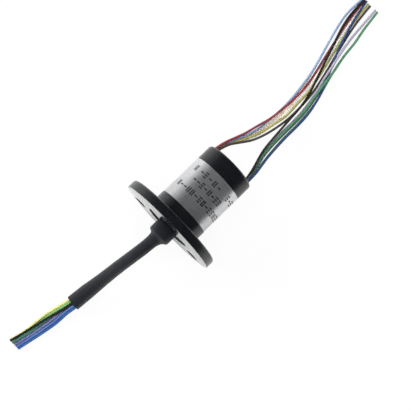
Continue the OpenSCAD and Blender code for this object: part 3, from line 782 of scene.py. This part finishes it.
class SLIPRING_OT_camera(bpy.types.Operator):
    """Places the camera above the slip ring, turned so that the body runs up to the right"""
    bl_idname = "slipring.camera"
    bl_label = "Camera"

    def execute(self, context):
        tilt = math.radians(6.8)
        turn = math.radians(44.14)
        target = Vector((7.19, -3.15, 0)) * MM
        distance = 296 * MM
        along = Vector((math.cos(tilt), 0, math.sin(tilt)))
        across = Vector((0, -1, 0))
        backwards = Vector((-math.sin(tilt), 0, math.cos(tilt)))
        right = math.cos(turn) * along + math.sin(turn) * across
        up = math.sin(turn) * along - math.cos(turn) * across
        data = bpy.data.cameras.new("Camera")
        data.lens = 117.07
        data.sensor_width = 36.0
        data.clip_start = 0.01
        data.clip_end = 10.0
        matrix = Matrix((right, up, backwards)).transposed().to_4x4()
        matrix.translation = target + backwards * distance
        camera = placed("Camera", data)
        camera.matrix_world = matrix
        context.scene.camera = camera
        return {"FINISHED"}


class SLIPRING_OT_shrink_sleeve(bpy.types.Operator):
    """Makes the black shrink sleeve over the rotor's stub and the rotating leads"""
    bl_idname = "slipring.shrink_sleeve"
    bl_label = "Shrink sleeve"

    def execute(self, context):
        sides = context.scene.slip_ring_leads.sleeve_sides
        line = [Vector(point) for point in SLEEVE_LINE]
        shoulder = (line[1].x, line[2].x)
        points, radii = list(line), [Vector((r, 0, 0)) for r in SLEEVE_RADII]
        for _ in range(2):
            points, radii = smoothed(points), smoothed(radii)
        sizes = [radius.x for radius in radii]
        keep = [i for i, point in enumerate(points) if point.x < shoulder[1] - 1e-6]
        points = [points[i] for i in keep]
        sizes = [sizes[i] for i in keep]
        # The stub's end: a round corner, and then a hollow flare down to the leads
        full, slim = SLEEVE_RADII[1], SLEEVE_RADII[2]
        collar = [
            (line[0].x + 0.17, full - 0.04), (line[0].x + 0.1, full), (-3.2, full), (-4.3, full),
            (-4.75, full - 0.02), (-4.95, full - 0.1), (-5.1, full - 0.25), (-5.22, full - 0.46),
            (-5.36, full - 0.68), (-5.52, full - 0.85), (-5.72, full - 0.98),
            (-5.95, full - 1.06), (shoulder[1], slim)]
        for x, size in reversed(collar):
            share = max(0, (shoulder[0] - x) / (shoulder[0] - shoulder[1]))
            points.insert(0, Vector((x, line[2].y * share * share, 0)))
            sizes.insert(0, size)
        ripple_depth, crease_depth = 0.012, 0.008
        builder = bmesh.new()
        layers = []
        for inset in (0, SLEEVE_WALL):
            rings = []
            for i, point in enumerate(points):
                run = run_at(points, i, Vector((-1, 0, 0)))
                side, up = sideways_of(run), upwards_of(run)
                # How closely the sleeve hugs the leads, which shows as ripples and creases
                hug = ease((shoulder[1] - point.x) / 3) * (1 - ease((-24 - point.x) / 4))
                ring = []
                for k in range(sides):
                    angle = 2 * math.pi * k / sides
                    ripple = ripple_depth * hug * math.cos(9 * angle - 0.6 + 0.05 * point.x)
                    crease = crease_depth * hug * math.sin(2.3 * point.x + 2 * angle)
                    size = sizes[i] - inset + (ripple + crease if inset == 0 else 0)
                    place = point + size * (math.cos(angle) * side + math.sin(angle) * up)
                    ring.append(builder.verts.new(place * MM))
                rings.append(ring)
            layers.append(rings)
        outer, inner = layers
        for rings in layers:
            for a, b in zip(rings, rings[1:]):
                stitch(builder, a, b)
        for i in (0, -1):
            stitch(builder, outer[i], inner[i])
        material = matt("Shrink sleeve", (0.0085, 0.0100, 0.0130), 0.55, 0.0022)
        piece = finish_mesh("shrink_sleeve", builder, [material], 40.0)
        stand_for(piece, "rotor", "heat_shrink_sleeve")
        MADE["sleeve"] = piece
        return {"FINISHED"}


class SLIPRING_OT_rotating_leads(bpy.types.Operator):
    """Makes the twelve leads that turn with the rotor"""
    bl_idname = "slipring.rotating_leads"
    bl_label = "Rotating leads"

    def execute(self, context):
        make_leads(
            "rotor", rotor_route, Vector((-1, 0, 0)), "rotor", ROTOR_TINTS,
            context.scene.slip_ring_leads)
        return {"FINISHED"}


class SLIPRING_OT_stationary_leads(bpy.types.Operator):
    """Makes the twelve leads that leave the end cap in two stacks"""
    bl_idname = "slipring.stationary_leads"
    bl_label = "Stationary leads"

    def execute(self, context):
        make_leads(
            "stator", stator_route, Vector((1, 0, 0)), "housing", STATOR_TINTS,
            context.scene.slip_ring_leads)
        return {"FINISHED"}


class SLIPRING_OT_housing(bpy.types.Operator):
    """Turns the flange, collar and barrel, and drills the mounting holes"""
    bl_idname = "slipring.housing"
    bl_label = "Housing"

    def execute(self, context):
        settings = context.scene.slip_ring_body
        edge, chamfer = mm(0.6, 0.12)
        recess, floor_of_recess = mm(5.6, -1.1)
        seat, seat_end, lip = mm(5.01, 1.4, 4.3)
        bore, bore_start = mm(5.45, 1.9)
        neck, neck_edge = mm(6.35, 0.06)
        barrel = BAND_R - 0.1 * MM
        root = 0.12 * MM
        outline = [(FLANGE_FRONT, recess + 0.05 * MM), (FLANGE_FRONT, FLANGE_R - chamfer)]
        outline += arc(FLANGE_FRONT + chamfer, FLANGE_R - chamfer, chamfer, 180, 90, 4)
        outline += arc(-edge, FLANGE_R - edge, edge, 90, 0, 10)
        outline += arc(root, neck + root, root, 180, 270, 4)
        outline += arc(BAND_START - neck_edge, neck - neck_edge, neck_edge, 90, 0, 4)
        outline += [(BAND_START, barrel), (BARREL_END, barrel), (BARREL_END, bore)]
        outline += [(bore_start, bore), (bore_start, lip), (seat_end, lip), (seat_end, seat)]
        outline += [(floor_of_recess, seat), (floor_of_recess, recess)]
        outline += [(FLANGE_FRONT + 0.05 * MM, recess)]
        plastic = moulded_plastic("Housing plastic", settings.plastic_colour, 0.26)
        polished = moulded_plastic("Polished face", settings.plastic_colour, 0.12, 0.7)
        MADE["polished"] = polished
        piece = finish_mesh(
            "housing_shell", turned(outline, settings.turn_steps), [plastic, polished])
        hole, reach = mm(1.5, 0.3)
        hole_circle = 9.4
        grow = settings.hole_chamfer
        drill = [
            (FLANGE_FRONT - reach, 0), (FLANGE_FRONT - reach, hole + grow + reach),
            (FLANGE_FRONT + grow, hole), (-grow, hole), (reach, hole + grow + reach), (reach, 0)]
        cutters = []
        for i in range(3):
            cutter = finish_mesh(f"drill_{i}", turned(drill, 64), [])
            angle = math.radians(120 * i)
            middle = Vector((0, -math.sin(angle), math.cos(angle))) * hole_circle * MM
            cutter.data.transform(Matrix.Translation(middle))
            cutters.append(cutter)
        cut_away(piece, cutters)
        polish_front(piece, FLANGE_FRONT)
        stand_for(piece, "housing", "flange_housing")
        return {"FINISHED"}


class SLIPRING_OT_foil_band(bpy.types.Operator):
    """Wraps the foil band round the barrel and prints rows of plain marks on it"""
    bl_idname = "slipring.foil_band"
    bl_label = "Foil band"

    def execute(self, context):
        settings = context.scene.slip_ring_body
        lap, lap_start, lap_end = settings.foil_lap, 196, 214
        inner = BAND_R - 0.1 * MM
        edge = 0.015 * MM

        def lapped(x, radius, angle):
            if radius <= inner + 1e-9:
                return radius
            raised = lap_start <= math.degrees(angle) % 360 < lap_end
            return radius + lap if raised else radius

        outline = [(BAND_START, inner)]
        outline += arc(BAND_START + edge, BAND_R - edge, edge, 180, 90, 3)
        outline += arc(BAND_END - edge, BAND_R - edge, edge, 90, 0, 3)
        outline += [(BAND_END, inner)]
        material = foil("Brushed foil", settings.foil_colour)
        piece = finish_mesh("foil_band", turned(outline, 360, lapped), [material], 20.0)
        stand_for(piece, "housing", "label_band")

        prints = context.scene.slip_ring_print
        # The rows of marks: each one's place along the body, and the angles it starts and ends at
        lanes = [
            (6.35, -88, 56), (8.9, -40, 31), (11.1, 31, 50), (11.1, -17, 20), (11.1, -80, -48),
        ]
        mesh = bpy.data.meshes.new("print_lanes")
        vertices, edges = [], []
        for x, start, end in lanes:
            for angle in (start, end):
                vertices.append((x * MM, math.radians(angle) * BAND_R, 0))
            edges.append((len(vertices) - 2, len(vertices) - 1))
        mesh.from_pydata(vertices, edges, [])
        ink = matt("Printing ink", prints.ink_colour, 0.55, 0.0008)
        values = {
            "Band radius": BAND_R, "Mark width": prints.mark_width,
            "Mark height": prints.mark_height, "Mark pitch": prints.mark_pitch,
            "Stroke": prints.stroke, "Ink height": prints.ink_height, "Seed": 4, "Material": ink,
        }
        grown_by(print_tree(), mesh, values, "print_marks", "housing")
        return {"FINISHED"}


def print_tree():
    """Lays plain marks (frames, pairs of bars and crossbars) along flat lanes, and wraps them"""
    sizes = ("Band radius", "Mark width", "Mark height", "Mark pitch", "Stroke", "Ink height")
    tree, given = new_tree("Printed marks", {**{name: "Float" for name in sizes}, "Seed": "Int"})

    def arithmetic(operation, first, second=0.0):
        inputs = {0: first, 1: second}
        return add_node(tree, "ShaderNodeMath", inputs, operation=operation).outputs[0]

    def vector(x, y, z):
        return add_node(tree, "ShaderNodeCombineXYZ", {"X": x, "Y": y, "Z": z}).outputs["Vector"]

    def bar(x_size, y_size, x=0.0, y=0.0):
        """A thin bar of ink, cut into short lengths so that it can follow the band"""
        cube = add_node(tree, "GeometryNodeMeshCube", {
            "Vertices Y": 5, "Size": vector(x_size, y_size, thickness)})
        move = add_node(tree, "GeometryNodeTransform", {
            "Geometry": cube.outputs["Mesh"], "Translation": vector(x, y, 0.0)})
        return move.outputs["Geometry"]

    width, height, stroke = given["Mark width"], given["Mark height"], given["Stroke"]
    thickness = arithmetic("MULTIPLY", given["Ink height"], 2.0)
    right = arithmetic("MULTIPLY", arithmetic("SUBTRACT", width, stroke), 0.5)
    left = arithmetic("MULTIPLY", right, -1.0)
    top = arithmetic("MULTIPLY", arithmetic("SUBTRACT", height, stroke), 0.5)
    bottom = arithmetic("MULTIPLY", top, -1.0)
    inner_height = arithmetic("SUBTRACT", height, arithmetic("MULTIPLY", stroke, 2.0))
    marks = []
    for parts in (
            [bar(stroke, width, top), bar(stroke, width, bottom),
             bar(inner_height, stroke, 0.0, left), bar(inner_height, stroke, 0.0, right)],
            [bar(height, stroke, 0.0, left), bar(height, stroke, 0.0, right)],
            [bar(stroke, width, top), bar(stroke, width, bottom), bar(stroke, width)],
            [bar(stroke, width)]):
        wrapper = add_node(
            tree, "GeometryNodeGeometryToInstance", {"Geometry": joined(tree, parts)})
        marks.append(wrapper.outputs["Instances"])

    lanes = add_node(tree, "GeometryNodeMeshToCurve", {"Mesh": given["Geometry"]})
    stations = add_node(tree, "GeometryNodeCurveToPoints", {
        "Curve": lanes.outputs["Curve"], "Length": given["Mark pitch"]}, mode="LENGTH")
    # The random node has its own sockets for whole numbers, which share names with others
    whole_low, whole_high, whole_result = 4, 5, 2
    choice = add_node(
        tree, "FunctionNodeRandomValue", {whole_low: 0, whole_high: 9, "Seed": given["Seed"]},
        data_type="INT").outputs[whole_result]
    # The frames come up four times in ten, the two next marks three and two, the last once
    kind = arithmetic("GREATER_THAN", choice, 3.5)
    for limit in (6.5, 8.5):
        kind = arithmetic("ADD", kind, arithmetic("GREATER_THAN", choice, limit))
    placed = add_node(tree, "GeometryNodeInstanceOnPoints", {
        "Pick Instance": True, "Points": stations.outputs["Points"],
        "Instance": joined(tree, marks), "Instance Index": kind})
    flat = add_node(
        tree, "GeometryNodeRealizeInstances", {"Geometry": placed.outputs["Instances"]})

    position = add_node(tree, "GeometryNodeInputPosition").outputs["Position"]
    place = add_node(tree, "ShaderNodeSeparateXYZ", {"Vector": position}).outputs
    radius = arithmetic("ADD", given["Band radius"], place["Z"])
    angle = arithmetic("DIVIDE", place["Y"], given["Band radius"])
    across = arithmetic("MULTIPLY", radius, arithmetic("SINE", angle))
    up = arithmetic("MULTIPLY", radius, arithmetic("COSINE", angle))
    wrap = add_node(tree, "GeometryNodeSetPosition", {
        "Geometry": flat.outputs["Geometry"], "Position": vector(place["X"], across, up)})
    return close_tree(tree, wrap.outputs["Geometry"], given["Material"])


class SLIPRING_OT_end_cap(bpy.types.Operator):
    """Turns the end cap, cuts its two lead slots and fills them with resin"""
    bl_idname = "slipring.end_cap"
    bl_label = "End cap"

    def execute(self, context):
        settings = context.scene.slip_ring_body
        edge = 0.7 * MM
        cap_start = 13.3 * MM
        wall = CAP_END - 1.2 * MM
        chamber = 5.45 * MM
        boss, boss_start = mm(3.8, 13.5)
        seat, seat_end = mm(3.01, 15.7)
        lip, pocket_end = mm(2.3, 16.55)
        spigot, spigot_inner = mm(5.44, 4.84)
        front_edge = 0.05 * MM
        outline = [(CAP_LOW.x, spigot_inner), (CAP_LOW.x, spigot), (cap_start, spigot)]
        outline += arc(cap_start + front_edge, CAP_R - front_edge, front_edge, 180, 90, 3)
        outline += arc(CAP_END - edge, CAP_R - edge, edge, 90, 0, 12)
        outline += [(CAP_END, 0), (pocket_end, 0), (pocket_end, lip), (seat_end, lip)]
        outline += [(seat_end, seat), (boss_start, seat), (boss_start, boss), (wall, boss)]
        outline += [(wall, chamber), (cap_start, chamber), (cap_start, spigot_inner)]
        plastic = moulded_plastic("Cap plastic", settings.plastic_colour, 0.28)
        piece = finish_mesh("end_cap_shell", turned(outline, settings.turn_steps), [plastic])
        cutters = []
        past = 0.1 * MM
        for side in (-1, 1):
            slot = extruded_slot(side, wall - past, CAP_END + past, 0)
            cutters.append(finish_mesh(f"slot_cutter_{side + 1}", slot, []))
            builder = bmesh.new()
            bmesh.ops.create_cube(builder, size=1)
            low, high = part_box("brush_board_a" if side > 0 else "brush_board_b")
            room = Vector((0.01, 0.01, 0.01)) * MM
            low, high = low - room, high + room
            low.x, high.x = CAP_LOW.x - past, wall
            for vertex in builder.verts:
                vertex.co = Vector([
                    low[i] if vertex.co[i] < 0 else high[i] for i in range(3)])
            cutters.append(finish_mesh(f"board_cutter_{side + 1}", builder, []))
        cut_away(piece, cutters)
        stand_for(piece, "housing", "end_cap")
        resin = matt("Potting resin", (0.014, 0.014, 0.015), 0.42, 0.004, 900.0)
        MADE["resin"] = resin
        for name, side in (("wire_potting_a", 1), ("wire_potting_b", -1)):
            builder = extruded_slot(side, wall, CAP_END, POTTING_ROOM)
            filling = finish_mesh(name + "_filling", builder, [resin])
            stand_for(filling, "housing", name)
        return {"FINISHED"}


class SLIPRING_OT_rotor(bpy.types.Operator):
    """Turns the rotor's stub, front disc, journals and core"""
    bl_idname = "slipring.rotor"
    bl_label = "Rotor shaft"

    def execute(self, context):
        settings = context.scene.slip_ring_body
        bore, bore_end = mm(1.25, 0.8)
        mouth, tip = mm(0.2, 0.2)
        stub = 2.45 * MM
        disc, disc_back, edge = mm(-2.0, -1.3, 0.06)
        land, land_end = mm(3.3, -1.1)
        journal, journal_end = mm(2.99, 1.4)
        core, core_end = mm(2.09, 12.3)
        neck, neck_end = mm(1.9, 13.7)
        tail, groove = mm(1.49, 1.15)
        clip, clip_end = mm(15.75, 16.05)
        outline = [(bore_end, 0), (bore_end, bore), (STUB_END + mouth, bore)]
        outline += [(STUB_END, bore + mouth)]
        outline += arc(STUB_END + mouth, stub - mouth, mouth, 180, 90, 4)
        outline += [(disc, stub)]
        outline += arc(disc + edge, DISC_R - edge, edge, 180, 90, 3)
        outline += [(disc_back, DISC_R), (disc_back, land), (land_end, land)]
        outline += [(land_end, journal), (journal_end, journal), (journal_end, core)]
        outline += [(core_end, core), (core_end, neck), (neck_end, neck), (neck_end, tail)]
        outline += [(clip, tail), (clip, groove), (clip_end, groove), (clip_end, tail)]
        outline += [(SHAFT_TAIL - tip, tail), (SHAFT_TAIL, tail - tip), (SHAFT_TAIL, 0)]
        plastic = moulded_plastic("Rotor plastic", settings.plastic_colour, 0.26)
        piece = finish_mesh(
            "rotor_spindle", turned(outline, settings.turn_steps), [plastic, MADE["polished"]])
        polish_front(piece, disc)
        stand_for(piece, "rotor", "rotor_shaft")
        paint(["rotor_potting"], MADE["resin"])
        return {"FINISHED"}


def paint(nodes, material):
    """Gives a material to solids that are shown as they are"""
    for node in nodes:
        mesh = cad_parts[node].data
        mesh.materials.clear()
        mesh.materials.append(material)


class SLIPRING_OT_bearings(bpy.types.Operator):
    """Finishes the two ball bearings and the retaining clip"""
    bl_idname = "slipring.bearings"
    bl_label = "Bearings"

    def execute(self, context):
        ground = metal("Ground bearing steel", (0.56, 0.57, 0.59), 0.22, (1, 0.05, 0.05))
        polished = metal("Polished ball steel", (0.70, 0.71, 0.73), 0.08, depth=0.0002)
        brass = metal("Cage brass", (0.66, 0.46, 0.18), 0.3, (1, 0.2, 0.2))
        spring = metal("Clip spring steel", (0.30, 0.31, 0.33), 0.38, depth=0.0015)
        for end in ("front", "rear"):
            paint([f"{end}_bearing_outer_race", f"{end}_bearing_inner_race"], ground)
            paint([f"{end}_balls"], polished)
            paint([f"{end}_cage"], brass)
        paint(["retaining_clip"], spring)
        return {"FINISHED"}


class SLIPRING_OT_contact_rings(bpy.types.Operator):
    """Finishes the gold contact rings and the insulating barriers between them"""
    bl_idname = "slipring.contact_rings"
    bl_label = "Contact rings"

    def execute(self, context):
        gold = metal("Ring gold", (0.84, 0.60, 0.22), 0.16, (1, 0.04, 0.04), 3000.0, 0.0006)
        rings = sorted(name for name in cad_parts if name.startswith("contact_ring_"))
        paint(rings, gold)
        paint(["ring_spacers"], matt("Barrier plastic", (0.025, 0.025, 0.028), 0.5, 0.002))
        return {"FINISHED"}


class SLIPRING_OT_brushes(bpy.types.Operator):
    """Finishes the hairpin brushes and their boards"""
    bl_idname = "slipring.brushes"
    bl_label = "Brushes"

    def execute(self, context):
        wire = metal("Brush gold", (0.82, 0.61, 0.27), 0.2, (4, 1, 1), 2400.0, 0.0004)
        paint(["brushes_a", "brushes_b"], wire)
        laminate, tree, shader = new_material("Board laminate")
        weave = add_node(
            tree, "ShaderNodeTexWave",
            {"Scale": 1800.0, "Distortion": 1.5, "Vector": object_point(tree)},
            bands_direction="DIAGONAL").outputs["Fac"]
        feed_all(tree, shader, {
            "Base Color": blend_colours(tree, weave, (0.012, 0.10, 0.04), (0.02, 0.15, 0.06)),
            "Roughness": 0.34,
        })
        bump(tree, shader, weave, 0.003 * MM)
        paint(["brush_board_a", "brush_board_b"], laminate)
        return {"FINISHED"}


class SLIPRING_OT_stage(bpy.types.Operator):
    """Makes the plain white floor, the soft lights and the pale world round them"""
    bl_idname = "slipring.stage"
    bl_label = "Stage"

    def execute(self, context):
        context.scene.view_settings.view_transform = "Standard"
        make_floor()
        make_lamp("Overhead soft box", (0.0, 0.02, 0.6), (0.5, 0.5), 3.7)
        make_lamp("Left soft box", (-0.05, 0.5, 0.3), (0.5, 0.35), 3.0)
        make_lamp("Right soft box", (0.05, -0.5, 0.3), (0.5, 0.35), 0.8)
        make_world()
        return {"FINISHED"}


def camera_sees(tree, share):
    """This share for what the camera sees by itself, and none for any other ray"""
    seen = add_node(tree, "ShaderNodeLightPath").outputs["Is Camera Ray"]
    inputs = {0: seen, 1: share}
    return add_node(tree, "ShaderNodeMath", inputs, operation="MULTIPLY").outputs[0]


def make_floor():
    """A white floor, which glows for the camera alone and keeps a faint shadow"""
    mesh = bpy.data.meshes.new("floor")
    size = 2.0
    sides = ((-size, -size), (size, -size), (size, size), (-size, size))
    mesh.from_pydata([(x, y, FLOOR) for x, y in sides], [], [(0, 1, 2, 3)])
    material = bpy.data.materials.new("White floor")
    tree = empty_tree(material)
    paper = add_node(tree, "ShaderNodeBsdfDiffuse", {"Color": (0.8, 0.8, 0.8, 1)})
    glow = add_node(tree, "ShaderNodeEmission", {"Strength": 1.0})
    mix = add_node(tree, "ShaderNodeMixShader", {
        0: camera_sees(tree, 0.9), 1: paper.outputs["BSDF"], 2: glow.outputs["Emission"]})
    add_node(tree, "ShaderNodeOutputMaterial", {"Surface": mix.outputs["Shader"]})
    mesh.materials.append(material)
    placed("floor", mesh)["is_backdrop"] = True


def make_lamp(name, place, size, power):
    """A soft box that faces the slip ring, and that nothing mirrors as a hard rectangle"""
    data = bpy.data.lights.new(name, "AREA")
    data.shape = "RECTANGLE"
    data.size, data.size_y = size
    data.energy = power
    turn = (-Vector(place)).to_track_quat("-Z", "Y").to_matrix().to_4x4()
    turn.translation = Vector(place)
    light = placed(name, data)
    light.matrix_world = turn
    light.visible_glossy = False


def make_world():
    """A world that is dim overhead and bright low down, and plain white to the camera"""
    world = bpy.data.worlds.new("Pale studio")
    bpy.context.scene.world = world
    tree = empty_tree(world)
    direction = add_node(tree, "ShaderNodeTexCoord").outputs["Generated"]
    lean = add_node(
        tree, "ShaderNodeVectorMath", {0: direction, 1: (0.3, -0.3, 1.0)},
        operation="DOT_PRODUCT").outputs["Value"]
    dome = add_node(tree, "ShaderNodeBackground", {
        "Color": (0.95, 0.98, 1.0, 1),
        "Strength": remap(tree, lean, 1.0, 0.1, -0.35, 0.55, "SMOOTHSTEP")})
    white = add_node(tree, "ShaderNodeBackground", {"Strength": 1.0})
    mix = add_node(tree, "ShaderNodeMixShader", {
        0: camera_sees(tree, 1.0), 1: dome.outputs["Background"], 2: white.outputs["Background"]})
    add_node(tree, "ShaderNodeOutputWorld", {"Surface": mix.outputs["Shader"]})


class SLIPRING_PT_panel(bpy.types.Panel):
    """Lists the steps that dress the slip ring"""
    bl_idname = "SLIPRING_PT_panel"
    bl_label = "Slip Ring"
    bl_space_type = "VIEW_3D"
    bl_region_type = "UI"
    bl_category = "Slip Ring"

    def draw(self, context):
        for settings in SETTINGS:
            box = self.layout.box()
            group = getattr(context.scene, settings)
            for name in group.__annotations__:
                box.prop(group, name)
        for operator in OPERATORS:
            self.layout.operator(operator.bl_idname)


SETTINGS = {
    "slip_ring_body": SlipRingBodySettings,
    "slip_ring_print": SlipRingPrintSettings,
    "slip_ring_leads": SlipRingLeadSettings,
}
OPERATORS = (
    SLIPRING_OT_camera,
    SLIPRING_OT_shrink_sleeve,
    SLIPRING_OT_rotating_leads,
    SLIPRING_OT_stationary_leads,
    SLIPRING_OT_housing,
    SLIPRING_OT_foil_band,
    SLIPRING_OT_end_cap,
    SLIPRING_OT_rotor,
    SLIPRING_OT_bearings,
    SLIPRING_OT_contact_rings,
    SLIPRING_OT_brushes,
    SLIPRING_OT_stage,
)


def register():
    for name, group in SETTINGS.items():
        bpy.utils.register_class(group)
        setattr(bpy.types.Scene, name, bpy.props.PointerProperty(type=group))
    for item in OPERATORS + (SLIPRING_PT_panel,):
        bpy.utils.register_class(item)


def unregister():
    for item in reversed(OPERATORS + (SLIPRING_PT_panel,)):
        bpy.utils.unregister_class(item)
    for name, group in SETTINGS.items():
        delattr(bpy.types.Scene, name)
        bpy.utils.unregister_class(group)


def corners():
    return [list(corner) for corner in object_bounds()]


def main():
    register()
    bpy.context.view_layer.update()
    MADE["copper"] = metal("Conductor copper", (0.78, 0.42, 0.26), 0.3, depth=0.0005)
    for operator in OPERATORS:
        group, name = operator.bl_idname.split(".")
        getattr(getattr(bpy.ops, group), name)()


if __name__ == "__main__":
    main()
